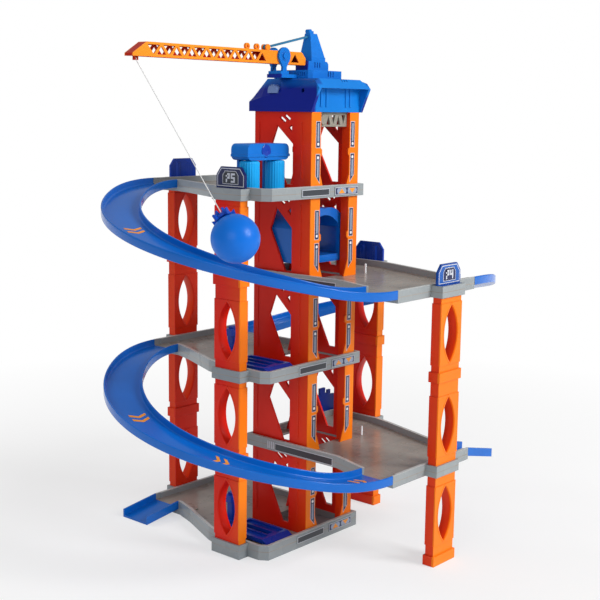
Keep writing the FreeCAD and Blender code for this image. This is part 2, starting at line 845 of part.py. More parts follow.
def ball_cap():
    # a crown that sits on the ball's top pad, and five leaf-shaped prongs
    z = cord_z - ball_reach
    r = ball_radius
    pad = ball_rings(4)[-1][0].z
    bore = cord_diameter / 2 + seat_gap
    profile = [(8.6, pad), (9.2, pad + 1.2), (6.5, pad + 4.5), (2.6, pad + 6.0)]
    crown = skinned([[V(x, y, h) for x, y in circle_points(0, 0, radius, 15)] for radius, h in profile])
    parts = [crown]
    for i in range(5):
        prong = plate([(3.0, pad), (9.0, r - 1.0), (12.0, r - 2.4), (13.0, r + 4.5), (8.5, r + 2.5),
                       (6.0, r + 9.0), (3.0, r + 4.0)], "y", -1.3, 1.3)
        prong.rotate(V(0, 0, 0), UP, 72.0 * i + 36.0)
        parts.append(prong)
    body = cut(fused(parts), [box(-bore, -bore, pad - 1.0, bore, bore, r + 12.0)])
    body.translate(V(cord_x, 0, z))
    return swung(body)


def ball_cord():
    # a tied end round the pin and one straight run down to the ball's cap
    half = 1.5
    loop = box(cord_x - 0.8, -half, cord_z - half, cord_x + 0.8, half, cord_z + half)
    low = cord_z - ball_reach + ball_rings(4)[-1][0].z
    run = Part.makeCylinder(cord_diameter / 2, cord_z - half - low, V(cord_x, 0, low))
    hole = plate(circle_points(0, cord_z, 0.7 + seat_gap, 8), "x", cord_x - 0.8, cord_x + 0.8)
    return swung(cut(fused([loop, run]), [hole]))


# Car wash on the top deck: a rounded housing on two posts over a pair of turning drums

def wash_frame():
    floor = floor_of(5)
    low = floor + foot_plate + seat_gap + drum_high + seat_gap
    x0 = drum_left_x - drum_radius - 1.5
    x1 = drum_right_x + drum_radius + 1.5
    y0 = drum_y - drum_radius + 2.0
    y1 = drum_y + drum_radius + 4.5
    high = housing_high
    corner = 6.5
    outline = []
    for cx, cz, first in ((x1 - corner, low + high - corner, 0), (x0 + corner, low + high - corner, 90),
                          (x0 + corner, low + corner, 180), (x1 - corner, low + corner, 270)):
        for i in range(5):
            a = math.radians(first + 22.5 * i)
            outline.append((cx + corner * math.cos(a), cz + corner * math.sin(a)))
    housing = plate(outline, "y", y0, y1)
    band = box(x0 - 0.8, y0 - 0.8, low + 4.0, x1 + 0.8, y1, low + 7.0)
    parts = [housing, band]
    for x in (drum_left_x, drum_right_x):
        parts.append(box(x - 4.0, y1 - 3.5, floor, x + 4.0, y1, low + 1.0))
        parts.append(box(x - 5.0, drum_y - 5.0, floor, x + 5.0, y1, floor + foot_plate))
        parts.append(Part.makeCylinder(drum_pin, 4.0, V(x, drum_y, floor + foot_plate)))
        parts.append(Part.makeCylinder(drum_pin, 4.0, V(x, drum_y, low - 4.0)))
    return fused(parts)


def wash_drum(x):
    z0 = floor_of(5) + foot_plate + seat_gap
    drum = prism(circle_points(x, drum_y, drum_radius, 24), z0, z0 + drum_high)
    return cut(drum, [Part.makeCylinder(drum_pin + running, drum_high + 2.0, V(x, drum_y, z0 - 1.0))])


# Repair hoists on the odd decks below the car wash

def hoist_post(level):
    z0 = floor_of(level)
    x = hoist_x
    y = hoist_back
    post = box(x - 7.0, y, z0, x + 7.0, y + 8.0, z0 + hoist_high)
    head = box(x - 11.0, y - 2.0, z0 + hoist_high, x + 11.0, y + 9.0, z0 + hoist_high + 9.0)
    foot = box(x - 13.0, y - 1.0, z0, x + 13.0, y + 10.0, z0 + 2.0)
    cap = box(x - 6.0, y + 0.5, z0 + hoist_high + 9.0, x + 6.0, y + 7.5, z0 + hoist_high + 12.0)
    return fused([post, head, foot, cap])


def hoist_platform(level):
    z0 = floor_of(level) + 2.0 + seat_gap
    x = hoist_x
    y1 = hoist_back - 2.6
    y0 = y1 - hoist_long
    half = hoist_wide / 2
    slab = box(x - half, y0 + 8.0, z0, x + half, y1, z0 + 5.0)
    nose = plate([(y0, z0), (y0 + 8.0, z0), (y0 + 8.0, z0 + 5.0)], "x", x - half, x + half)
    parts = [slab, nose]
    tools = []
    # two wheel channels and an open middle
    for side in (-1, 1):
        c = x + side * (half - 9.5)
        tools.append(box(c - 6.0, y0 + 12.0, z0 + 2.4, c + 6.0, y1 - 4.0, z0 + 6.0))
    tools.append(box(x - 5.0, y0 + 16.0, z0 - 1.0, x + 5.0, y1 - 10.0, z0 + 6.0))
    # carriage that rides round the post
    gap = seat_gap
    sleeve = box(x - 7.0 - gap - 2.5, y1 - 1.0, z0,
                 x + 7.0 + gap + 2.5, hoist_back + 8.0 + gap + 2.5, z0 + 9.0)
    parts.append(sleeve)
    tools.append(box(x - 7.0 - gap, hoist_back - gap, z0 - 1.0,
                     x + 7.0 + gap, hoist_back + 8.0 + gap, z0 + 10.0))
    return cut(fused(parts), tools)


# Lift cabin: a floor, two side walls and an arch at each end

def lift_cabin():
    hx = cabin_x / 2
    hy = cabin_y / 2
    z0 = cabin_rest
    zf = z0 + cabin_floor
    z1 = z0 + cabin_high
    inner = hx - cabin_wall - 2.0
    spring = z1 - 24.0
    outline = [V(-hx, 0, z0), V(hx, 0, z0), V(hx, 0, spring), V(0, 0, z1), V(-hx, 0, spring)]
    w = [Part.makeLine(outline[0], outline[1]), Part.makeLine(outline[1], outline[2]),
         Part.Arc(outline[2], V(hx * 0.74, 0, z1 - 7.0), outline[3]).toShape(),
         Part.Arc(outline[3], V(-hx * 0.74, 0, z1 - 7.0), outline[4]).toShape(),
         Part.makeLine(outline[4], outline[0])]
    shell = Part.Face(Part.Wire(w)).extrude(V(0, cabin_y, 0))
    shell.translate(V(0, -hy, 0))
    top = z1 - 8.0
    door = [Part.makeLine(V(-inner, 0, zf), V(inner, 0, zf)),
            Part.makeLine(V(inner, 0, zf), V(inner, 0, spring)),
            Part.Arc(V(inner, 0, spring), V(0, 0, top), V(-inner, 0, spring)).toShape(),
            Part.makeLine(V(-inner, 0, spring), V(-inner, 0, zf))]
    doorway = Part.Face(Part.Wire(door)).extrude(V(0, cabin_y + 2.0, 0))
    doorway.translate(V(0, -hy - 1.0, 0))
    room = box(-hx + 3.0, -hy + 5.0, zf, hx - 3.0, hy - 5.0, spring)
    under = box(-hx + 3.0, -hy + 3.0, z0 - 1.0, hx - 3.0, hy - 3.0, zf - 3.0)
    body = cut(shell, [doorway, room, under])
    sill = box(-hx + 4.0, -hy - 0.8, z0 + 2.0, hx - 4.0, -hy, zf - 2.0)
    return fused([body, sill])


# Low stepped skyline boards on the far rim of the even decks

def skyline(level):
    z0 = rim_of(level)
    y1 = deck_front - 0.5
    steps = [(62.0, 0.0), (118.0, 0.0), (118.0, 22.0), (110.0, 22.0), (110.0, 29.0), (104.0, 29.0),
             (104.0, 25.0), (99.0, 25.0), (99.0, 33.0), (88.0, 33.0), (88.0, 24.0), (78.0, 24.0),
             (78.0, 28.0), (70.0, 28.0), (70.0, 17.0), (62.0, 17.0)]
    outline = [(x, z0 + z) for x, z in steps]
    return plate(outline, "y", y1 - 3.0, y1)


save(roof_housing(), "roof_housing")
save(roof_knob(), "roof_knob")
save(lift_girder(), "lift_girder")
save(crane_turntable(), "crane_turntable")
save(crane_mast(), "crane_mast")
save(boom_bracket(), "boom_bracket")
save(boom_pin(), "boom_pin")
save(boom(), "boom")
save(tie_rod(), "tie_rod")
save(wrecking_ball(), "wrecking_ball")
save(ball_cap(), "ball_cap")
save(ball_cord(), "ball_cord")
save(wash_frame(), "wash_frame")
save(wash_drum(drum_left_x), "wash_drum_left")
save(wash_drum(drum_right_x), "wash_drum_right")
for level in (1, 3):
    save(hoist_post(level), "hoist_post_p%d" % level)
    save(hoist_platform(level), "hoist_platform_p%d" % level)
save(lift_cabin(), "lift_cabin")
for level in (2, 4):
    save(skyline(level), "skyline_p%d" % level)
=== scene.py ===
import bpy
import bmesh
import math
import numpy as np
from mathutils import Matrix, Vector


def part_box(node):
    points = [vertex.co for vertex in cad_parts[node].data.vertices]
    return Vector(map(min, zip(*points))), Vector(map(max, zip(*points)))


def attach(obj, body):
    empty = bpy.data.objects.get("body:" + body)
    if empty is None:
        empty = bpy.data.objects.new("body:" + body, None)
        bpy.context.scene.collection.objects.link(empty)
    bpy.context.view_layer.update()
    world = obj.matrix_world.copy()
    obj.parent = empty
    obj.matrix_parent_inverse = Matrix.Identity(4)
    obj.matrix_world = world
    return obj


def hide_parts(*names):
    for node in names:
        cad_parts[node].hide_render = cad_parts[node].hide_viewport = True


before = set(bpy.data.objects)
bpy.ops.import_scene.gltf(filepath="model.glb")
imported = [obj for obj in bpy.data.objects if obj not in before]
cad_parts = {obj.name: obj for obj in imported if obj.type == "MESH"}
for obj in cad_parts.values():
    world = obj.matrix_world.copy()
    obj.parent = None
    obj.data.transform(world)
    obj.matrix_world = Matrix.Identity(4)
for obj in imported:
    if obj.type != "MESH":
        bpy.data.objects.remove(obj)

# %% [markdown]
# A toy parking garage is almost all moulded plastic: orange walls, grey decks, blue lanes.
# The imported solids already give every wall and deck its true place, so this file adds
# three things to them: the skins (materials), the smooth curved pieces, and the printed labels.
# Measures are written in millimetres, as drawings are, and turned to metres once. The few that
# many pieces share come first: the storeys, the rims, the faces that carry labels, and the pin
# under the boom's nose, from which the ball hangs.

STOREY = 105.0
BASE_RIM = 18.0
RIM_HIGH = 8.0
TOWER_FRONT = -45.0
SKIRT_FACE = 50.5
SIDE_SKIRT_FACE = 50.0
NOSE = np.array([-272.0, 0.0, 575.5])

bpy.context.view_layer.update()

# %% [markdown]
# The camera comes first. A photograph fixes where the lens stood: the vertical posts lean a little
# and the far decks shrink, so one yaw, pitch, roll and focal length explain the whole picture.

# %% Camera
def aimed_axes(yaw, pitch, roll):
    """Right, up and forward of a lens that is turned by yaw, tipped down by pitch and then rolled."""
    level = math.cos(pitch)
    forward = np.array([math.cos(yaw) * level, math.sin(yaw) * level, -math.sin(pitch)])
    right = np.array([math.sin(yaw), -math.cos(yaw), 0.0])
    up = np.cross(right, forward)
    c, s = math.cos(roll), math.sin(roll)
    return c * right + s * up, c * up - s * right, forward


LENS_AT = (-1.0731, -0.9221, 0.5251)
YAW, PITCH, ROLL = 40.905, 9.329, 0.7725
FOCAL_LENGTH = 69.24

right, up, forward = aimed_axes(*[math.radians(angle) for angle in (YAW, PITCH, ROLL)])
lens = bpy.data.cameras.new("lens")
lens.sensor_width = 36.0
lens.lens = FOCAL_LENGTH
lens.clip_end = 30.0
camera = bpy.data.objects.new("camera", lens)
bpy.context.collection.objects.link(camera)
turn = Matrix([(right[k], up[k], -forward[k]) for k in range(3)])
camera.matrix_world = Matrix.Translation(Vector(LENS_AT)) @ turn.to_4x4()
bpy.context.scene.camera = camera
bpy.context.scene.view_settings.view_transform = "Standard"

# %% [markdown]
# Shader maths in Blender is a chain of Math nodes, which is slow to write and hard to read.
# A small class that stands for one number in the chain lets the formulas below look like
# ordinary Python: each sign adds the node that does it.

# %% Numbers and nodes of a material
class Number:
    """One number on its way through a material; +, -, * and / add the Math nodes."""

    def __init__(self, tree, socket):
        self.tree = tree
        self.socket = socket

    def math(self, operation, *others):
        node = self.tree.nodes.new("ShaderNodeMath")
        node.operation = operation
        for place, value in enumerate((self,) + others):
            if isinstance(value, Number):
                self.tree.links.new(value.socket, node.inputs[place])
            else:
                node.inputs[place].default_value = value
        return Number(self.tree, node.outputs[0])

    def __add__(self, other):
        return self.math("ADD", other)

    def __sub__(self, other):
        return self.math("SUBTRACT", other)

    def __mul__(self, other):
        return self.math("MULTIPLY", other)

    def __truediv__(self, other):
        return self.math("DIVIDE", other)

    def __rsub__(self, other):
        return self.math("MULTIPLY", -1.0).math("ADD", other)

    __radd__ = __add__
    __rmul__ = __mul__

    def within(self, low=0.0, high=1.0):
        return self.math("MAXIMUM", low).math("MINIMUM", high)

    def above(self, edge, soft):
        """0 below the edge and 1 above it, with a straight slope as wide as soft between."""
        return ((self - edge) / soft + 0.5).within()

    def wrapped(self, period):
        """What is left after whole periods are taken away."""
        return self.math("FLOORED_MODULO", period)


class Skin:
    """A material under construction."""

    def __init__(self, title):
        self.material = bpy.data.materials.new(title)
        self.material.use_nodes = True
        self.tree = self.material.node_tree
        self.surface = self.tree.nodes["Principled BSDF"]
        self.place = self.node("ShaderNodeTexCoord").outputs["Object"]
        split = self.node("ShaderNodeSeparateXYZ", values={"Vector": self.place})
        self.x, self.y, self.z = [Number(self.tree, s) for s in split.outputs]

    def node(self, kind, settings=None, values=None):
        """Any node: its settings are made first, then its sockets get values or links."""
        node = self.tree.nodes.new(kind)
        for key, value in (settings or {}).items():
            setattr(node, key, value)
        for key, value in (values or {}).items():
            socket = node.inputs[key]
            if isinstance(value, Number):
                self.tree.links.new(value.socket, socket)
            elif isinstance(value, bpy.types.NodeSocket):
                self.tree.links.new(value, socket)
            else:
                socket.default_value = value
        return node

    def noise(self, scale, detail=2.0):
        made = self.node("ShaderNodeTexNoise",
                         values={"Vector": self.place, "Scale": scale, "Detail": detail})
        return Number(self.tree, made.outputs["Fac"])

    def blend(self, amount, first, second):
        """first where amount is 0, second where it is 1."""
        mix = self.node("ShaderNodeMix", {"data_type": "RGBA"}, {0: amount})
        for place, value in ((6, first), (7, second)):
            if isinstance(value, bpy.types.NodeSocket):
                self.tree.links.new(value, mix.inputs[place])
            else:
                mix.inputs[place].default_value = (*value, 1.0)
        return mix.outputs[2]

    def feed(self, socket, value):
        if isinstance(value, Number):
            value = value.socket
        self.tree.links.new(value, self.surface.inputs[socket])


def paint(hex_code):
    """The linear colour of an sRGB hex code."""
    parts = [int(hex_code[i:i + 2], 16) / 255.0 for i in (0, 2, 4)]
    return tuple(p / 12.92 if p <= 0.04045 else ((p + 0.055) / 1.055) ** 2.4 for p in parts)


print("shader tools ready")

# %% [markdown]
# Moulded plastic has more to it than its colour. The flow of the melt leaves faint clouds in it, the mould
# leaves a fine grain, handling leaves duller patches, and every edge has a small radius that catches the
# light. The Bevel node finds that radius on solids with sharp corners, and comparing its normal with the true
# one gives a mask of the edges, where the colour is painted paler as a painted highlight.

# %% One recipe for every plastic
def moulded(title, colour, roughness=0.32, coat=0.02, clouds=0.10, grain=0.10, edge=0.22,
            radius=0.7, extra=None):
    """Cloudy colour, grainy bump, dull patches, and rounded edges with a painted highlight: a paler colour on
    them.
    """
    skin = Skin(title)
    cloud = skin.noise(14.0, 3.0)
    dark = tuple(c * (1.0 - clouds) for c in colour)
    light = tuple(min(1.0, c * (1.0 + clouds) + 0.004) for c in colour)
    tint = skin.blend(cloud.above(0.5, 0.5), dark, light)
    if extra:
        tint = extra(skin, tint)
    rounded = skin.node("ShaderNodeBevel", {"samples": 4}, {"Radius": radius / 1000.0})
    true = skin.node("ShaderNodeNewGeometry")
    dot = skin.node("ShaderNodeVectorMath", {"operation": "DOT_PRODUCT"},
                    {0: rounded.outputs["Normal"], 1: true.outputs["Normal"]})
    rim = ((1.0 - Number(skin.tree, dot.outputs["Value"])) * 5.0).within()
    # The paler colour on the edges is a painted highlight.
    pale = tuple(min(1.0, c * 1.15 + 0.07) for c in colour)
    skin.feed("Base Color", skin.blend(rim * edge, tint, pale))
    patches = skin.noise(38.0, 4.0)
    skin.feed("Roughness", patches * 0.14 + (roughness - 0.07) + rim * 0.08)
    skin.surface.inputs["Specular IOR Level"].default_value = 0.18
    skin.surface.inputs["Coat Weight"].default_value = coat
    skin.surface.inputs["Coat Roughness"].default_value = 0.12
    bump = skin.node("ShaderNodeBump",
                     values={"Strength": grain, "Distance": 0.0004, "Height": skin.noise(900.0, 2.0),
                             "Normal": rounded.outputs["Normal"]})
    skin.feed("Normal", bump.outputs["Normal"])
    return skin.material


# %% [markdown]
# The orange walls are painted with light and shade: the faces that meet the light are painted yellow-orange
# as painted light, and the red-orange body is painted shade. Each wall or column gets that lit skin on its
# front 0.8 mm, found by the Y of the piece itself, the shaded red body behind it, and between them a stretch
# where the red turns a little towards orange, which is a painted gradient of light.

# %% Orange walls and columns
# Lit and shaded copies of one orange plastic: the red tones are painted shade, the orange tones painted
# light, and the tone between them is painted half-light.
shaded_red_orange = paint("DC1E06")
half_lit_orange = paint("E4460A")
lit_orange = paint("FA8612")
lit_deep_orange = paint("F4700C")
shaded_column_red = paint("E03A10")


def orange_shell(title, front_y, front_light_tones=(lit_orange, lit_deep_orange)):
    """Red-orange body as painted shade, with its front face at front_y painted warmer as painted light."""

    def front(skin, tint):
        # The front face is painted lit, the body behind it is painted shade, and a band near the front is
        # painted half-lit.
        lit_face = 1.0 - skin.y.above((front_y + 0.8) / 1000.0, 0.0004)
        half_lit_band = 1.0 - skin.y.above((front_y + 14.0) / 1000.0, 0.024)
        tint = skin.blend(half_lit_band * 0.7, tint, half_lit_orange)
        drift = skin.noise(7.0, 2.0)
        lit_tint = skin.blend(drift.above(0.5, 0.6), *front_light_tones)
        return skin.blend(lit_face, tint, lit_tint)

    return moulded(title, shaded_red_orange, roughness=0.34, clouds=0.09, edge=0.28, extra=front)


orange_tower = orange_shell("orange_tower", TOWER_FRONT)
orange_side = orange_shell("orange_side_columns", -20.0)
# The rear column stands in shade, so even its front face is painted red as painted shade.
orange_rear = orange_shell("orange_rear_column", 191.25, (shaded_column_red, shaded_red_orange))
orange_fore = orange_shell("orange_front_column", -202.75)


def painted_inside_shade(skin, tint):
    """Dark red painted as shade between the boom's two side walls, orange on them and on what stands above
    them.
    """
    # The dark red between the side walls is painted shade.
    inside = (1.0 - skin.y.math("ABSOLUTE").above(0.0056, 0.0006)) * (1.0 - skin.z.above(0.5925, 0.0004))
    return skin.blend(inside, tint, paint("B5200A"))


orange_boom = moulded("orange_boom", paint("F98A1A"), roughness=0.33, edge=0.3, extra=painted_inside_shade)
print("four orange shells and the boom's orange")

# %% [markdown]
# The decks are two greys in one moulding: the rims and skirts are a cool silver grey with a slight shimmer,
# the floors a warmer and browner grey. All five decks are one pitch apart, so the height above each floor is
# the height wrapped by that pitch.

# %% Grey decks
def floor_tone(skin, tint):
    """Warm grey where the wrapped height is a floor's, with faint lane lines, and a pale rim on top."""
    above_floor = (skin.z - 0.0097).wrapped(STOREY / 1000.0)
    floor = 1.0 - above_floor.above(0.0008, 0.0002)
    rim = above_floor.above(0.0079, 0.0002) * (1.0 - above_floor.above(0.0089, 0.0002))
    worn = skin.noise(22.0, 4.0)
    ground = skin.blend(worn.above(0.52, 0.35), paint("8E857C"), paint("A29A90"))
    seams = ((skin.y / 0.038).wrapped(1.0) - 0.5).math("ABSOLUTE")
    line = 1.0 - seams.above(0.014, 0.01)
    ground = skin.blend(line * 0.30, ground, paint("5F5A55"))
    toned = skin.blend(floor, tint, ground)
    return skin.blend(rim * 0.55, toned, paint("D4D4CE"))


grey_deck = moulded("grey_deck", paint("909698"), roughness=0.28, coat=0.2, clouds=0.07, grain=0.12,
                    edge=0.35, extra=floor_tone)

# %% [markdown]
# The blues differ by piece: the lanes are glossy and deep, the roof and crane lighter and more satin, the
# roof's side slopes painted nearly navy as painted shade, and the roller drums a sky blue. A lane floor is
# smoother than a wall, so it mirrors more of the room.

# %% Blues, trims, cord
def shaded_side_slopes(skin, tint):
    """Behind the front hood the roof's two sides are painted shade: navy at their foot and a duller blue
    above it.
    """
    side = skin.x.math("ABSOLUTE").above(0.0445, 0.0015)
    left = 1.0 - skin.x.above(-0.0385, 0.004)
    behind = skin.y.above(-0.0555, 0.002)
    # The navy at the foot of the slopes and the duller blue above it are painted shade.
    slope_shade = skin.blend(skin.z.above(0.553, 0.006), paint("001A88"), paint("0A50A4"))
    return skin.blend((side + left).within() * behind, tint, slope_shade)


roof_blue = moulded("roof_blue", paint("0076CE"), roughness=0.40, coat=0.0, extra=shaded_side_slopes)
crane_blue = moulded("crane_blue", paint("006CC6"), roughness=0.36)


def shaded_left_face(name, lean, skin_title):
    """The crane's blue with its left face painted navy as painted shade; the edge of that face moves to the
    right by lean over its height.
    """
    low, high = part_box(name)

    def dark(skin, tint):
        rise = ((skin.z - low[2]) / (high[2] - low[2])).within()
        edge = rise * (lean / 1000.0) + (low[0] + 0.0008)
        # The navy on the left face is painted shade.
        return skin.blend((edge - skin.x).above(0.0, 0.0006), tint, paint("00208C"))

    return moulded(skin_title, paint("006CC6"), roughness=0.36, extra=dark)


table_blue = shaded_left_face("crane_turntable", 1.0, "turntable_blue")
mast_blue = shaded_left_face("crane_mast", 6.0, "mast_blue")
lane_blue = moulded("lane_blue", paint("0062BE"), roughness=0.24, coat=0.25, clouds=0.08, grain=0.05,
                    edge=0.5, radius=0.5)
ball_blue = moulded("ball_blue", paint("0068CC"), roughness=0.36, coat=0.05, clouds=0.05, grain=0.03,
                    edge=0.1)
leaf_blue = moulded("leaf_blue", paint("0044B0"), roughness=0.34)
drum_blue = moulded("drum_blue", paint("089EE4"), roughness=0.36, clouds=0.12)
deep_blue = moulded("deep_blue", paint("0038A4"), roughness=0.28, coat=0.2, clouds=0.1)
# The sign on the left faces the left side and is painted navy as painted shade; the sign on the right faces
# the front and is painted a lighter blue as painted light.
shaded_sign_navy = moulded("shaded_sign_navy", paint("0A1C5A"), roughness=0.3, coat=0.2)
lit_sign_blue = moulded("lit_sign_blue", paint("0A4498"), roughness=0.3, coat=0.2)
board_navy = moulded("board_navy", paint("0A2A80"), roughness=0.34)
trim_grey = moulded("trim_grey", paint("8C877C"), roughness=0.38)
knob_grey = moulded("knob_grey", paint("7088B8"), roughness=0.36)
rod_steel = moulded("rod_steel", paint("2E6E94"), roughness=0.34)
print("materials:", len(bpy.data.materials))

# %% [markdown]
# Labels are printed foil: a very thin film with a slightly dull varnish. The ink varies a
# little in strength, so each label colour gets fine mottling and hardly any bump.

# %% Printed foils
def foil(title, colour, roughness=0.42):
    """Ink on a varnished film: fine mottling in the colour and the varnish."""
    skin = Skin(title)
    mottle = skin.noise(260.0, 3.0)
    deep = tuple(c * 0.86 for c in colour)
    skin.feed("Base Color", skin.blend(mottle.above(0.5, 0.6), deep, colour))
    skin.feed("Roughness", skin.noise(120.0, 2.0) * 0.2 + (roughness - 0.1))
    bump = skin.node("ShaderNodeBump", values={"Strength": 0.04, "Distance": 0.0002, "Height": mottle})
    skin.feed("Normal", bump.outputs["Normal"])
    return skin.material


foil_navy = foil("foil_navy", paint("1B2350"))
foil_pale = foil("foil_pale", paint("C9CDD6"))
foil_grey = foil("foil_grey", paint("97A3B8"))
foil_dark = foil("foil_dark", paint("34383F"))
foil_orange = foil("foil_orange", paint("F59A23"))
foil_white = foil("foil_white", paint("EDEEF2"))
foil_blue = foil("foil_blue", paint("0A56AC"))

# %% [markdown]
# Every solid keeps its shape and only gets its skin. The name of a solid says what it is, so
# a short list of name starts is enough to dress all of them.

# %% Skins for the solids
skins = {"deck": grey_deck, "tower": orange_tower, "column_front_left": orange_side,
         "column_rear_right": orange_side, "column_rear_left": orange_rear,
         "column_front_right": orange_fore, "sign": deep_blue, "sign_front_left": shaded_sign_navy,
         "sign_front_right": lit_sign_blue, "roof_housing": roof_blue, "roof_knob": knob_grey,
         "lift_girder": trim_grey, "crane": crane_blue, "crane_turntable": table_blue,
         "crane_mast": mast_blue, "boom_bracket": crane_blue, "boom_pin": crane_blue,
         "boom": orange_boom, "tie_rod": rod_steel, "ball_cap": leaf_blue, "wash_frame": crane_blue,
         "hoist": deep_blue, "lift_cabin": lane_blue, "skyline": board_navy, "exit_ramp": lane_blue}
dressed = 0
for name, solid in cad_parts.items():
    starts = [s for s in skins if name == s or name.startswith(s)]
    if starts:
        skin = skins[max(starts, key=len)]
        for place in solid.material_slots:
            place.material = skin
        dressed += 1
print("solids dressed:", dressed)

# %% [markdown]
# New pieces are grids of points. One helper turns a grid into quads by index arithmetic,
# another puts points and faces into a mesh, gives it a skin and lets it ride on its body.

# %% From grids of points to pieces
def grid_quads(rows, cols, wrap_rows=False, wrap_cols=False):
    """Quads between neighbours of a rows x cols grid, whose points are numbered row by row."""
    i, j = np.meshgrid(np.arange(rows if wrap_rows else rows - 1),
                       np.arange(cols if wrap_cols else cols - 1), indexing="ij")
    a, b = i * cols, ((i + 1) % rows) * cols
    k = (j + 1) % cols
    return np.stack([a + j, b + j, b + k, a + k], -1).reshape(-1, 4).tolist()


def tube_faces(rings, sides):
    """Faces of a tube made of rings, with a cap on both ends."""
    last = (rings - 1) * sides
    return grid_quads(rings, sides, wrap_cols=True) + [list(range(sides)), list(range(last, last + sides))]


def combine(shapes):
    """Several (points, faces) shapes as one."""
    points, faces, start = [], [], 0
    for p, f in shapes:
        points.append(np.asarray(p, float).reshape(-1, 3))
        faces += [[v + start for v in face] for face in f]
        start += len(points[-1])
    return np.concatenate(points), faces


def piece(name, body, skin, shape, merge=False):
    """A mesh piece in metres from a shape in millimetres, faces outwards, riding on a body."""
    points, faces = shape
    mesh = bpy.data.meshes.new(name)
    mesh.from_pydata((points / 1000.0).tolist(), [], faces)
    work = bmesh.new()
    work.from_mesh(mesh)
    if merge:
        bmesh.ops.remove_doubles(work, verts=work.verts, dist=1e-6)
    bmesh.ops.recalc_face_normals(work, faces=work.faces)
    work.to_mesh(mesh)
    work.free()
    mesh.shade_smooth()
    mesh.set_sharp_from_angle(angle=math.radians(32.0))
    mesh.materials.append(skin)
    made = bpy.data.objects.new(name, mesh)
    bpy.context.collection.objects.link(made)
    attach(made, body)
    return made


def slab(outline, origin, across, upward, low, high):
    """A flat plate: an outline in the plane of two directions, between two heights above it."""
    flat = np.asarray(outline, float)
    a, b = np.asarray(across, float), np.asarray(upward, float)
    base = np.asarray(origin, float) + flat[:, :1] * a + flat[:, 1:] * b
    out = np.cross(a, b)
    return np.concatenate([base + low * out, base + high * out]), tube_faces(2, len(flat))


def drawn_in(outline, distance):
    """A convex outline with each edge moved inwards; neighbouring edges are crossed again."""
    p = np.asarray(outline, float)
    q = np.roll(p, -1, 0)
    way = (q - p) / np.linalg.norm(q - p, axis=1, keepdims=True)
    inward = np.stack([-way[:, 1], way[:, 0]], 1)
    area = np.sum(p[:, 0] * q[:, 1] - q[:, 0] * p[:, 1])
    start = p + inward * distance * math.copysign(1.0, area)
    before, past = np.roll(way, 1, 0), np.roll(start, 1, 0)
    cross = before[:, 0] * way[:, 1] - before[:, 1] * way[:, 0]
    gap = start - past
    t = (gap[:, 0] * way[:, 1] - gap[:, 1] * way[:, 0]) / cross
    return past + before * t[:, None]


def revolved(profile, centre, sides, axis=2):
    """A profile of (radius, height) turned round an axis through the centre."""
    r, h = np.asarray(profile, float).T
    a = np.linspace(0, 2 * math.pi, sides, endpoint=False)
    ring = np.stack([r[:, None] * np.cos(a), r[:, None] * np.sin(a), np.repeat(h[:, None], sides, 1)], -1)
    ring = np.roll(ring, (axis + 1) % 3, axis=-1)
    return (ring + np.asarray(centre, float)).reshape(-1, 3), tube_faces(len(profile), sides)


def rim_of(level):
    return BASE_RIM + STOREY * (level - 1)


# %% [markdown]
# The half-turn lanes are what catches the eye. Each is a U-shaped trough carried along half an
# ellipse while it sinks one storey, level at both ends. The solids do it in 26 flat steps; here
# the same path is followed in 150 steps, with round lips and soft inside corners.

# %% Half-turn lanes
def arc(cx, cz, radius, first, last, count):
    a = np.radians(np.linspace(first, last, count))
    return np.stack([cx + radius * np.cos(a), cz + radius * np.sin(a)], 1)


def trough():
    """Closed section of a lane: 46 wide, 8 deep inside, 2.2 mm walls with round lips; rim at height 0."""
    half, wall, inside, floor, low = 23.0, 2.2, 20.8, -8.0, -10.5
    lip = wall / 2
    return np.concatenate([
        arc(1.2 - half, low + 1.2, 1.2, 180, 270, 5), arc(half - 1.2, low + 1.2, 1.2, 270, 360, 5),
        [[half, -3.0]], arc(half - lip, -lip, lip, 0, 180, 9),
        arc(inside - 1.8, floor + 1.8, 1.8, 360, 270, 6), [[8.0, floor], [0.0, floor], [-8.0, floor]],
        arc(1.8 - inside, floor + 1.8, 1.8, 270, 180, 6), arc(lip - half, -lip, lip, 0, 180, 9),
        [[-half, -3.0]]])


def lane_path(start, top, low, steps=150):
    """Points, outward normals, rim heights and distances of a half turn that leaves a deck at -start."""
    reach, side_reach, straight, ease = 170.0, 167.0, 7.5, 0.16
    deck_edge = -start - 0.1
    cx = deck_edge + straight
    a = np.linspace(math.acos((deck_edge - cx) / reach), 1.5 * math.pi, steps)
    x, y = cx + reach * np.cos(a), side_reach * np.sin(a)
    nx, ny = np.cos(a) / reach, np.sin(a) / side_reach
    size = np.hypot(nx, ny)
    run = np.linspace(0, 7.4, 4)[1:]
    level = np.zeros(len(run))
    x, y = np.append(x, x[-1] + run), np.append(y, level - side_reach)
    nx, ny = np.append(nx / size, level), np.append(ny / size, level - 1.0)
    d = np.append(0, np.cumsum(np.hypot(np.diff(x), np.diff(y))))
    t, slow = d / d[-1], 2 * ease * (1 - ease)
    fall = np.where(t < ease, t * t / slow,
                    np.where(t > 1 - ease, 1 - (1 - t) ** 2 / slow, (t - ease / 2) / (1 - ease)))
    return x, y, nx, ny, top + (low - top) * fall, d


def on_lane(path, s, across, above):
    """The point at distance s, so far across to the outside and so far above the rim."""
    x, y, nx, ny, z, d = path
    px, py, ax, ay, pz = [np.interp(s, d, v) for v in (x, y, nx, ny, z)]
    return np.stack([px + ax * across, py + ay * across, pz + above], -1)


def half_turned(points):
    return points * np.array([-1.0, -1.0, 1.0])


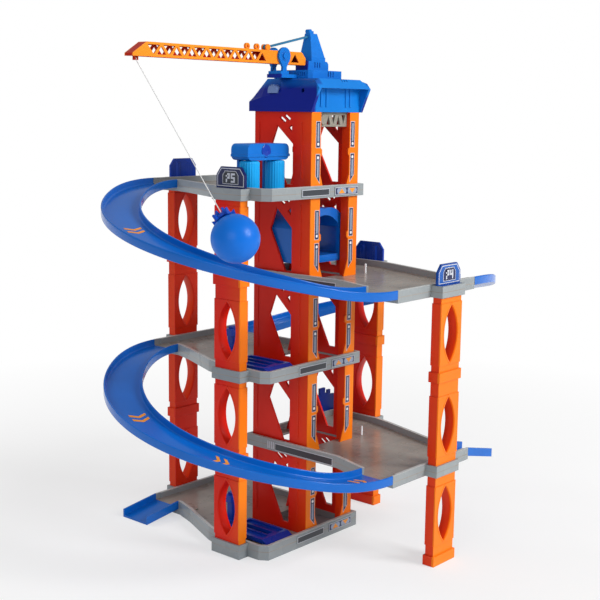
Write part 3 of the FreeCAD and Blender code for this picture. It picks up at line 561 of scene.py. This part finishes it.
lanes = {"ramp_p5_p4": (80.0, 5, False), "ramp_p4_p3": (88.0, 4, True), "ramp_p3_p2": (80.0, 3, False)}
lane_paths = {}
for name, (start, level, turned) in lanes.items():
    path = lane_path(start, rim_of(level), rim_of(level - 1))
    lane_paths[name] = path
    section = trough()
    d = path[5]
    points = on_lane(path, d[:, None], section[None, :, 0], section[None, :, 1])
    if turned:
        points = half_turned(points)
    shape = points.reshape(-1, 3), tube_faces(len(d), len(section))
    made = piece(name + "_lane", "structure", lane_blue, shape)
    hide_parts(name)
    print(name, "runs", round(float(d[-1])), "mm and falls", round(float(path[4][0] - path[4][-1])), "mm")


# %% [markdown]
# Arrow stripes lie on the lane floors, two by two, and point downhill. Each arm is a thin film
# that follows the bend, so its points are worked out in lane measures: along and across.

# %% Arrow stripes on the lanes
def stripe(path, s, across, turned):
    """A film shaped like a V: along = s - 0.55 * distance from its tip, 4 mm wide, 0.3 mm thick."""
    t = np.linspace(-10.0, 10.0, 17)
    tip = s - 0.55 * np.abs(t)
    ring = [(tip - 2.0, -8.05), (tip + 2.0, -8.05), (tip + 2.0, -7.7), (tip - 2.0, -7.7)]
    points = np.stack([on_lane(path, a, t + across, h) for a, h in ring], 1)
    if turned:
        points = half_turned(points)
    return points.reshape(-1, 3), tube_faces(17, 4)


stripes = []
stripe_shares = {"ramp_p5_p4": (0.395, 0.70), "ramp_p4_p3": (0.40, 0.64), "ramp_p3_p2": (0.41, 0.64, 0.955)}
for name, shares in stripe_shares.items():
    path = lane_paths[name]
    for share in shares:
        for step in (-5.0, 5.0):
            stripes.append(stripe(path, share * path[5][-1] + step, -3.0, lanes[name][2]))
piece("lane_arrows", "structure", foil_orange, combine(stripes))
print("arrow stripes:", len(stripes))

# %% [markdown]
# The ball is hollow and blow-moulded in two halves, so a fine seam runs round it. A sphere is a
# radius over two angles; the seam is a small dip of that radius near one plane.

# %% Wrecking ball
def swung(points):
    """Points hung straight below the boom's nose, turned to the height that the ball is shown at."""
    a = math.radians(-39.6)
    p = np.asarray(points, float) - NOSE
    y = p[:, 1] * math.cos(a) - p[:, 2] * math.sin(a)
    z = p[:, 1] * math.sin(a) + p[:, 2] * math.cos(a)
    return np.stack([p[:, 0], y, z], 1) + NOSE


BALL_DROP = 226.0

lat, lon = np.meshgrid(np.linspace(-math.pi / 2, math.pi / 2, 91),
                       np.linspace(0, 2 * math.pi, 128, endpoint=False), indexing="ij")
side = np.cos(lat) * np.cos(lon)
radius = 24.26 - 0.12 * np.exp(-(side / 0.02) ** 2)
ball = np.stack([radius * side, radius * np.cos(lat) * np.sin(lon), radius * np.sin(lat)], -1)
ball = ball.reshape(-1, 3) + NOSE - [0.0, 0.0, BALL_DROP]
ball_piece = piece("wrecking_ball_shell", "ball", ball_blue,
                   (swung(ball), grid_quads(91, 128, wrap_cols=True)), merge=True)
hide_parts("wrecking_ball")
print("ball of", len(ball), "points")

# %% [markdown]
# The string is pulled straight by the ball. It is one open curve with a round bevel, one run from the boom's
# pin down into the crown. A twisted string shows slanted strands, which its material draws along the curve's
# own length.

# %% String of the crane
def string_skin():
    """Off-white twisted string: slanted bands along and round it, as colour and bump."""
    skin = Skin("string_white")
    uv = skin.node("ShaderNodeTexCoord").outputs["UV"]
    split = skin.node("ShaderNodeSeparateXYZ", values={"Vector": uv})
    along, round_it = Number(skin.tree, split.outputs[0]), Number(skin.tree, split.outputs[1])
    strand = ((along * 170.0 + round_it * 3.0).wrapped(1.0) - 0.5).math("ABSOLUTE") * 2.0
    skin.feed("Base Color", skin.blend(strand, paint("B9BABD"), paint("F1F1EE")))
    skin.feed("Roughness", strand * 0.15 + 0.6)
    bump = skin.node("ShaderNodeBump", values={"Strength": 0.5, "Distance": 0.0001, "Height": strand})
    skin.feed("Normal", bump.outputs["Normal"])
    return skin.material


STRING_TOP, STRING_LOW = 1.5, 201.1

pin_at, crown_at = swung([NOSE - [0.0, 0.0, drop] for drop in (STRING_TOP, STRING_LOW)]) / 1000.0
route = [pin_at, pin_at + (crown_at - pin_at) * 0.03, pin_at + (crown_at - pin_at) * 0.97, crown_at]
curve = bpy.data.curves.new("crane_string", "CURVE")
curve.dimensions = "3D"
curve.bevel_depth = 0.0005
curve.bevel_resolution = 3
curve.use_fill_caps = True
line = curve.splines.new("NURBS")
line.points.add(len(route) - 1)
for point, place in zip(line.points, route):
    point.co = (*place, 1.0)
line.order_u = 3
line.use_endpoint_u = True
curve.materials.append(string_skin())
string = bpy.data.objects.new("crane_string", curve)
bpy.context.collection.objects.link(string)
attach(string, "ball")
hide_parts("ball_cord")

# %% [markdown]
# Where the string is tied it doubles up into a small knot round the pin under the boom's nose.

# %% Knot at the pin
turns = np.linspace(0, 2 * math.pi, 40, endpoint=False)
ring = np.linspace(0, 2 * math.pi, 10, endpoint=False)
tt, rr = np.meshgrid(turns, ring, indexing="ij")
PIN_LOOP, STRAND = 1.15, 0.42
knot_r = PIN_LOOP + STRAND * np.cos(rr)
knot = np.stack([STRAND * np.sin(rr), knot_r * np.cos(tt), knot_r * np.sin(tt)], -1).reshape(-1, 3) + NOSE
piece("string_knot", "ball", foil_white, (knot, grid_quads(40, 10, True, True)))

# %% [markdown]
# Each column window is a tall pointed oval. The solid has it in short chords, so a smooth sleeve
# lines it: the oval's outline carried round a small rounded profile that reaches through the wall.

# %% Window sleeves of the columns
def pointed_oval(count, wide=29.0, high=70.0):
    """Two arcs of one radius that meet at the top and the foot, as points and outward normals."""
    radius = (high * high + wide * wide) / (4 * wide)
    t = np.linspace(0, 2 * math.pi, count, endpoint=False)
    v = high / 2 * np.sin(t)
    u = (np.sqrt(radius ** 2 - v ** 2) - radius + wide / 2) * np.sign(np.cos(t))
    u[np.abs(np.cos(t)) < 1e-9] = 0.0
    du, dv = np.roll(u, -1) - np.roll(u, 1), np.roll(v, -1) - np.roll(v, 1)
    size = np.hypot(du, dv)
    return u, v, dv / size, -du / size


def sleeve(x, y, wide_y, middle, thick):
    """The oval's outline with a rounded band of the wall's thickness on it."""
    u, v, nu, nv = pointed_oval(96)
    h = thick / 2 + 0.35
    band = np.array([(-0.9, -h + 1.0), (-0.6, -h + 0.3), (0.0, -h), (1.3, -h), (1.6, -h + 0.6),
                     (1.6, h - 0.6), (1.3, h), (0.0, h), (-0.6, h - 0.3), (-0.9, h - 1.0)])
    out = u[:, None] + nu[:, None] * band[:, 0]
    rise = middle + v[:, None] + nv[:, None] * band[:, 0]
    deep = np.repeat(band[None, :, 1], len(u), 0)
    if wide_y:
        points = np.stack([x + deep, y + out, rise], -1)
    else:
        points = np.stack([x + out, y + deep, rise], -1)
    return points.reshape(-1, 3), grid_quads(len(u), len(band), True, True)


WALL_THICK = 13.1
COLLAR_LIFT = 3.0
seats = [BASE_RIM - RIM_HIGH + STOREY * k for k in (1, 2, 3, 4)]
# place in plan, whether the wide side runs along Y, heights of the joints between segments,
# segments with a collar at their foot (their window sits higher), and skin
columns = {"front_left": (-130.5, 0.0, True, [2.5] + seats, (1, 3), orange_side),
           "rear_left": (-21.0, 197.0, False, [2.5] + seats, (1, 3), orange_rear),
           "rear_right": (130.5, 0.0, True, [0.0] + seats[:3], (0, 2), orange_side),
           "front_right": (21.0, -197.0, False, [0.0] + seats[:3], (0, 2), orange_fore)}
for name, (x, y, wide_y, joints, collars, skin) in columns.items():
    shapes = []
    for i, (low, high) in enumerate(zip(joints[:-1], joints[1:])):
        middle = (low + high) / 2 + (COLLAR_LIFT if i in collars else 0.0)
        shapes.append(sleeve(x, y, wide_y, middle, WALL_THICK))
    piece("window_sleeves_" + name, "structure", skin, combine(shapes))
    print(name, "has", len(shapes), "sleeves")

# %% [markdown]
# The storey labels on the front posts are narrow strips: a pale border, navy inside it, a grey
# bar, and a white dot at the end that faces the middle of the storey. The lower strip ends in a
# slanted point. Each is a stack of films a fraction of a millimetre thick. Heights are above the
# rim of the storey's deck, and the top storey's upper strip is a little shorter.

# %% Strips on the front posts
STRIP_LEFT, STRIP_RIGHT = -36.2, -28.4
BAR_LEFT, BAR_RIGHT = -33.7, -30.9
LOWER_STRIP, UPPER_STRIP, TOP_STRIP = (2.0, 37.0), (41.0, 76.0), (44.0, 75.0)
POINT_SLANT = 9.0
DOT_X, DOT_FROM_END = -32.3, 4.4


def panel(left, right, low, high, slant=0.0):
    """Four corners; slant lifts the lower left one, so that the foot comes to a point."""
    return [(left, low + slant), (right, low), (right, high), (left, high)]


def on_post(outline, hand, low, high):
    """A film on the left post where hand is 1 and, mirrored, on the right one where it is -1."""
    flat = [(x * hand, z) for x, z in outline][::hand]
    return slab(flat, (0, TOWER_FRONT, 0), (1, 0, 0), (0, 0, 1), low, high)


def post_labels():
    """Border, field, bar and dot films of all strips."""
    borders, fields, bars, dots = [], [], [], []
    a = np.linspace(0, 2 * math.pi, 16, endpoint=False)
    for level in range(1, 6):
        upper = UPPER_STRIP if level < 5 else TOP_STRIP
        for (foot, head), pointed in ((LOWER_STRIP, True), (upper, False)):
            low, high = rim_of(level) + foot, rim_of(level) + head
            whole = panel(STRIP_LEFT, STRIP_RIGHT, low, high, POINT_SLANT if pointed else 0.0)
            bar = panel(BAR_LEFT, BAR_RIGHT, low + 7.5, high - (7.5 if pointed else 2.2))
            spot = high - DOT_FROM_END if pointed else low + DOT_FROM_END
            dot = list(zip(DOT_X + 1.7 * np.cos(a), spot + 1.9 * np.sin(a)))
            for hand in (1, -1):
                borders.append(on_post(whole, hand, -0.1, 0.15))
                fields.append(on_post(drawn_in(whole, 0.6), hand, 0.0, 0.25))
                bars.append(on_post(bar, hand, 0.0, 0.35))
                dots.append(on_post(dot, hand, 0.0, 0.4))
    return borders, fields, bars, dots


for title, shapes, ink in zip(("borders", "fields", "bars", "dots"), post_labels(),
                              (foil_pale, foil_navy, foil_grey, foil_white)):
    piece("post_label_" + title, "structure", ink, combine(shapes))
    print("post label", title, len(shapes))

# %% [markdown]
# The decks carry foil on their front skirts: a long dark plate, which is bare, and a navy
# panel with one arrow up and one down for the lift. Even decks are the odd ones turned round,
# so their plates face the back, and a long dark plate sits on their left side instead.

# %% Plates on the deck skirts
LONG_PLATE = (-65.5, -16.5, 11.5, 3.5)
LIFT_PANEL = (-5.5, 37.5, 12.0, 3.0)
SIDE_PLATE = (-2.0, 90.0, 13.2, 4.0)
UP_ARROW, DOWN_ARROW = (6.5, 1), (26.5, -1)
ARROW_DEPTH = 7.5


def hung(place, rim):
    """Outline of a plate from its left, its right, and its lower and upper edge below the rim."""
    left, right, deep, shallow = place
    return panel(left, right, rim - deep, rim - shallow)


def skirt_plates():
    """Rims, dark plates, navy panels, grey fields and arrows of all decks."""
    rims, darks, navies, greys, arrows = [], [], [], [], []
    for level in range(1, 6):
        rim = rim_of(level)
        hand = 1 if level % 2 else -1
        face = dict(origin=(0, -SKIRT_FACE * hand, 0), across=(hand, 0, 0), upward=(0, 0, 1))
        for place, inks, inset in ((LONG_PLATE, darks, 0.7), (LIFT_PANEL, navies, 0.6)):
            rims.append(slab(hung(place, rim), low=-0.05, high=0.12, **face))
            inks.append(slab(drawn_in(hung(place, rim), inset), low=0.0, high=0.22, **face))
        for middle, way in (UP_ARROW, DOWN_ARROW):
            z = rim - ARROW_DEPTH
            field = [(middle - 7.5, z - 3.4), (middle + 7.5, z - 3.4), (middle + 9.0, z),
                     (middle + 7.5, z + 3.4), (middle - 7.5, z + 3.4), (middle - 9.0, z)]
            greys.append(slab(field, low=0.0, high=0.30, **face))
            arrow = [(middle - 5.6, z - 2.7 * way), (middle + 5.6, z - 2.7 * way), (middle, z + 2.9 * way)]
            arrows.append(slab(arrow[::way], low=0.0, high=0.45, **face))
        if hand < 0:
            side = dict(origin=(-SIDE_SKIRT_FACE, 0, 0), across=(0, -1, 0), upward=(0, 0, 1))
            rims.append(slab(hung(SIDE_PLATE, rim), low=-0.05, high=0.3, **side))
            darks.append(slab(drawn_in(hung(SIDE_PLATE, rim), 0.8), low=0.0, high=0.45, **side))
            for y in (-14.0, -11.0, -8.0, -5.0):
                rims.append(slab(panel(y, y + 1.3, rim - 12.0, rim - 3.0), low=-0.05, high=0.7, **side))
    return rims, darks, navies, greys, arrows


for title, shapes, ink in zip(("rims", "darks", "navies", "greys", "arrows"), skirt_plates(),
                              (foil_pale, foil_dark, foil_navy, foil_grey, foil_orange)):
    piece("skirt_plate_" + title, "structure", ink, combine(shapes))
    print("skirt plate", title, len(shapes))

# %% [markdown]
# Two signs on the front columns carry the mark of their storey in block figures. A figure is
# made of a few bars of one width, laid on a dark panel inside two pale outlines. The bars are
# given as left, foot, right and head on a field 6 wide and 10 high.

# %% Storey signs
BARS = {"top": (0, 8, 6, 10), "middle": (0, 4, 6, 6), "foot": (0, 0, 6, 2),
        "upper_left": (0, 6, 2, 8), "upper_right": (4, 6, 6, 8), "lower_right": (4, 2, 6, 4),
        "left_arm": (0, 6, 2, 10), "right_arm": (4, 6, 6, 10), "right_leg": (4, 0, 6, 4),
        "left_post": (0, 0, 2, 10)}
FIGURES = {"5": ("top", "upper_left", "middle", "lower_right", "foot"),
           "4": ("left_arm", "right_arm", "middle", "right_leg"),
           "P": ("left_post", "top", "middle", "upper_right")}


def sign_face(figures, origin, across, scale):
    """Outlines, panels and figures of one sign, which is 45 wide and 24 high with cut corners."""
    outline = [(-22.5, 0), (22.5, 0), (22.5, 15.0), (15.5, 24.0), (-15.5, 24.0), (-22.5, 15.0)]
    face = dict(origin=origin, across=across, upward=(0, 0, 1))
    pale, panels = [], []
    pale.append(slab(drawn_in(outline, 1.6), low=-0.1, high=0.15, **face))
    panels.append(slab(drawn_in(outline, 2.6), low=0.0, high=0.25, **face))
    inner = [(-12.5, 4.2), (12.5, 4.2), (12.5, 14.6), (8.6, 19.4), (-8.6, 19.4), (-12.5, 14.6)]
    pale.append(slab(inner, low=0.0, high=0.35, **face))
    inset = slab(drawn_in(inner, 0.7), low=0.0, high=0.45, **face)
    for place, figure in enumerate(figures):
        shift, lift = (7.6 * place - 3.8 * (len(figures) - 1) - 3.0) * scale, 6.2
        for bar in FIGURES[figure]:
            left, foot, right_edge, head = [v * scale for v in BARS[bar]]
            outline = panel(left + shift, right_edge + shift, foot + lift, head + lift)
            pale.append(slab(outline, low=0.0, high=0.6, **face))
    return pale, panels, inset


five = sign_face("P5", (-132.0, 0.0, rim_of(5) - 1.0), (0, -1, 0), 1.05)
four = sign_face("P4", (21.0, -198.5, rim_of(4) - 1.0), (1, 0, 0), 1.05)
piece("sign_outlines", "structure", foil_pale, combine(five[0] + four[0]))
# The sign for storey 5 faces the left, so its panel and inset are painted darker than those of storey 4, as
# painted shade.
piece("sign_panel_five", "structure", foil_navy, combine(five[1]))
piece("sign_panel_four", "structure", foil_blue, combine(four[1]))
piece("sign_inset_five", "structure", foil_dark, five[2])
piece("sign_inset_four", "structure", foil_navy, four[2])
print("signs for storeys 5 and 4")

# %% [markdown]
# The roller drums of the wash are turned shapes: a straight wall with soft shoulders. Shallow
# flutes run up them like the bristles of a brush, so the radius also waves round the drum.

# %% Roller drums
DRUM_RADIUS, DRUM_BORE, DRUM_HIGH, SHOULDER, FLUTES = 11.7, 2.3, 35.0, 2.5, 24
DRUM_Y, DRUM_FOOT = -4.0, 432.2


def drum(x):
    """Radius 11.7 with 24 shallow flutes, soft shoulders of 2.5 mm, closed at both ends."""
    turn = np.radians(np.linspace(0, 90, 7))
    inner = DRUM_RADIUS - SHOULDER
    lower = np.stack([inner + SHOULDER * np.sin(turn), SHOULDER - SHOULDER * np.cos(turn)], 1)
    upper = np.stack([inner + SHOULDER * np.cos(turn), DRUM_HIGH - SHOULDER + SHOULDER * np.sin(turn)], 1)
    wall = [[DRUM_RADIUS, height] for height in (10.0, 18.0, 26.0)]
    profile = np.concatenate([[[DRUM_BORE, 0.0]], lower, wall, upper, [[DRUM_BORE, DRUM_HIGH]]])
    a = np.linspace(0, 2 * math.pi, 144, endpoint=False)
    depth = np.clip((profile[:, :1] - inner) / SHOULDER, 0, 1)
    r = profile[:, :1] * (1.0 + 0.022 * (np.cos(FLUTES * a) - 1.0) * depth)
    height = DRUM_FOOT + np.repeat(profile[:, 1:], 144, 1)
    points = np.stack([x + r * np.cos(a), DRUM_Y + r * np.sin(a), height], -1)
    return points.reshape(-1, 3), tube_faces(len(profile), 144)


for side, x in (("left", -105.0), ("right", -62.0)):
    made = piece("wash_roller_" + side, "drum_" + side, drum_blue, drum(x))
    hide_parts("wash_drum_" + side)

# %% [markdown]
# The wash housing carries a round badge: a bare disc with a fine rim, domed a little so that it
# catches a highlight. It is a profile turned about an axis that points to the front.

# %% Bare badge of the wash
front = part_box("wash_frame")[0][1] * 1000.0
BADGE_X, BADGE_Z = -88.0, 478.5
shallow_dome = [(7.6, 0.0), (7.6, 0.7), (6.9, 1.0), (6.6, 0.8), (4.0, 1.1), (1.5, 1.25), (0.05, 1.3)]
points, faces = revolved(shallow_dome, (0, 0, 0), 48)
points = np.stack([points[:, 0] + BADGE_X, front + 0.9 - points[:, 2], points[:, 1] + BADGE_Z], 1)
piece("wash_badge", "structure", deep_blue, (points, faces))
print("badge at", np.round(points.mean(0)))

# %% [markdown]
# The bracket that carries the boom has two raised rings round its pin, on both sides.

# %% Rings round the boom's pin
pin_low, pin_high = [np.array(corner) * 1000.0 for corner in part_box("boom_pin")]
bracket_low, bracket_high = [np.array(corner) * 1000.0 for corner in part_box("boom_bracket")]
turned_disc = [(5.6, -0.2), (5.6, 0.35), (5.0, 0.5), (4.5, 0.15), (3.9, 0.15), (3.5, 0.5), (2.9, 0.5),
               (0.05, 0.5)]
middle_x, middle_z = (pin_low[0] + pin_high[0]) / 2, (pin_low[2] + pin_high[2]) / 2
rings = []
for hand, face_y in ((-1.0, bracket_low[1]), (1.0, bracket_high[1])):
    profile = [(r, hand * h) for r, h in turned_disc]
    rings.append(revolved(profile, (middle_x, face_y, middle_z), 48, axis=1))
piece("bracket_rings", "crane", crane_blue, combine(rings))
print("rings at", round(middle_x, 1), round(middle_z, 1))

# %% [markdown]
# Screws hold the odd decks. A pan head is a low dome, and its cross is too small to show.
# Small white pegs stand beside the lanes of the even decks.

# %% Screw heads and pegs
dome = [(1.9, 0.0), (1.9, 0.4), (1.6, 0.9), (0.9, 1.2), (0.05, 1.3)]
screws = []
for level in (1, 3, 5):
    for x, y in ((-114.0, -38.0), (40.0, -40.0), (-70.0, 120.0)):
        screws.append(revolved(dome, (x, y, rim_of(level) - RIM_HIGH - 0.05), 20))
piece("deck_screws", "structure", trim_grey, combine(screws))
peg = [(1.3, 0.0), (1.3, 10.5), (1.0, 11.6), (0.05, 12.0)]
pegs = [revolved(peg, (65.0, -44.0, rim_of(level) - RIM_HIGH), 20) for level in (2, 4)]
piece("white_pegs", "structure", foil_white, combine(pegs))
print("screws:", len(screws), "pegs:", len(pegs))

# %% [markdown]
# The stage: a pale floor that keeps the toy's shadow, and light at a plain level. One large lamp
# stands to the right of the camera, a weaker one to the left, and the sky fills the rest. The
# floor turns pure white away from the toy, so it has no visible end.

# %% Floor, lamps and sky
floor_mesh = bpy.data.meshes.new("floor")
FLOOR_RADIUS = 9.0
a = np.linspace(0, 2 * math.pi, 96, endpoint=False)
disc = FLOOR_RADIUS * np.stack([np.cos(a), np.sin(a), np.zeros(len(a))], 1)
floor_mesh.from_pydata(disc.tolist(), [], [list(range(len(a)))])
floor = bpy.data.objects.new("floor", floor_mesh)
bpy.context.collection.objects.link(floor)
ground = Skin("pale_floor")
ground.surface.inputs["Roughness"].default_value = 0.9
ground.feed("Base Color", ground.blend(ground.noise(3.0), (0.88, 0.88, 0.88), (0.91, 0.91, 0.91)))
glow = ground.node("ShaderNodeEmission", values={"Color": (1, 1, 1, 1), "Strength": 1.0})
rays = ground.node("ShaderNodeLightPath")
by_camera, by_gloss = [Number(ground.tree, rays.outputs[kind]) for kind in ("Is Camera Ray", "Is Glossy Ray")]
seen = by_camera.math("MAXIMUM", by_gloss)
away = (ground.x * ground.x + ground.y * ground.y).math("SQRT").above(0.75, 0.7)
share = seen * (away * 0.45 + 0.55)
mixed = ground.node("ShaderNodeMixShader",
                    values={0: share, 1: ground.surface.outputs[0], 2: glow.outputs[0]})
out = ground.tree.nodes["Material Output"]
ground.tree.links.new(mixed.outputs[0], out.inputs["Surface"])
floor_mesh.materials.append(ground.material)


def lamp(name, place, size, power, aim=(0.0, 0.0, 0.3), glossy=True):
    light = bpy.data.lights.new(name, "AREA")
    light.shape = "DISK"
    light.size = size
    light.energy = power
    made = bpy.data.objects.new(name, light)
    bpy.context.collection.objects.link(made)
    made.location = place
    made.rotation_mode = "QUATERNION"
    made.visible_glossy = glossy
    made.rotation_quaternion = (Vector(aim) - Vector(place)).to_track_quat("-Z", "Y")
    return made


lamp("key", (0.7, -2.5, 1.7), 1.3, 70.0)
lamp("fill", (-2.4, -1.2, 1.2), 1.8, 16.0)
lamp("back", (-0.6, 2.2, 1.9), 1.2, 18.0, glossy=False)

sky = bpy.data.worlds.new("sky")
bpy.context.scene.world = sky
sky.use_nodes = True
backdrop = sky.node_tree.nodes["Background"]
path = sky.node_tree.nodes.new("ShaderNodeLightPath")
white = sky.node_tree.nodes.new("ShaderNodeBackground")
white.inputs["Color"].default_value = (1, 1, 1, 1)
backdrop.inputs["Color"].default_value = (1, 1, 1, 1)
backdrop.inputs["Strength"].default_value = 0.38
seen = sky.node_tree.nodes.new("ShaderNodeMath")
seen.operation = "MAXIMUM"
sky.node_tree.links.new(path.outputs["Is Camera Ray"], seen.inputs[0])
sky.node_tree.links.new(path.outputs["Is Transmission Ray"], seen.inputs[1])
both = sky.node_tree.nodes.new("ShaderNodeMixShader")
sky.node_tree.links.new(seen.outputs[0], both.inputs[0])
sky.node_tree.links.new(backdrop.outputs[0], both.inputs[1])
sky.node_tree.links.new(white.outputs[0], both.inputs[2])
sky.node_tree.links.new(both.outputs[0], sky.node_tree.nodes["World Output"].inputs["Surface"])
print("stage set")
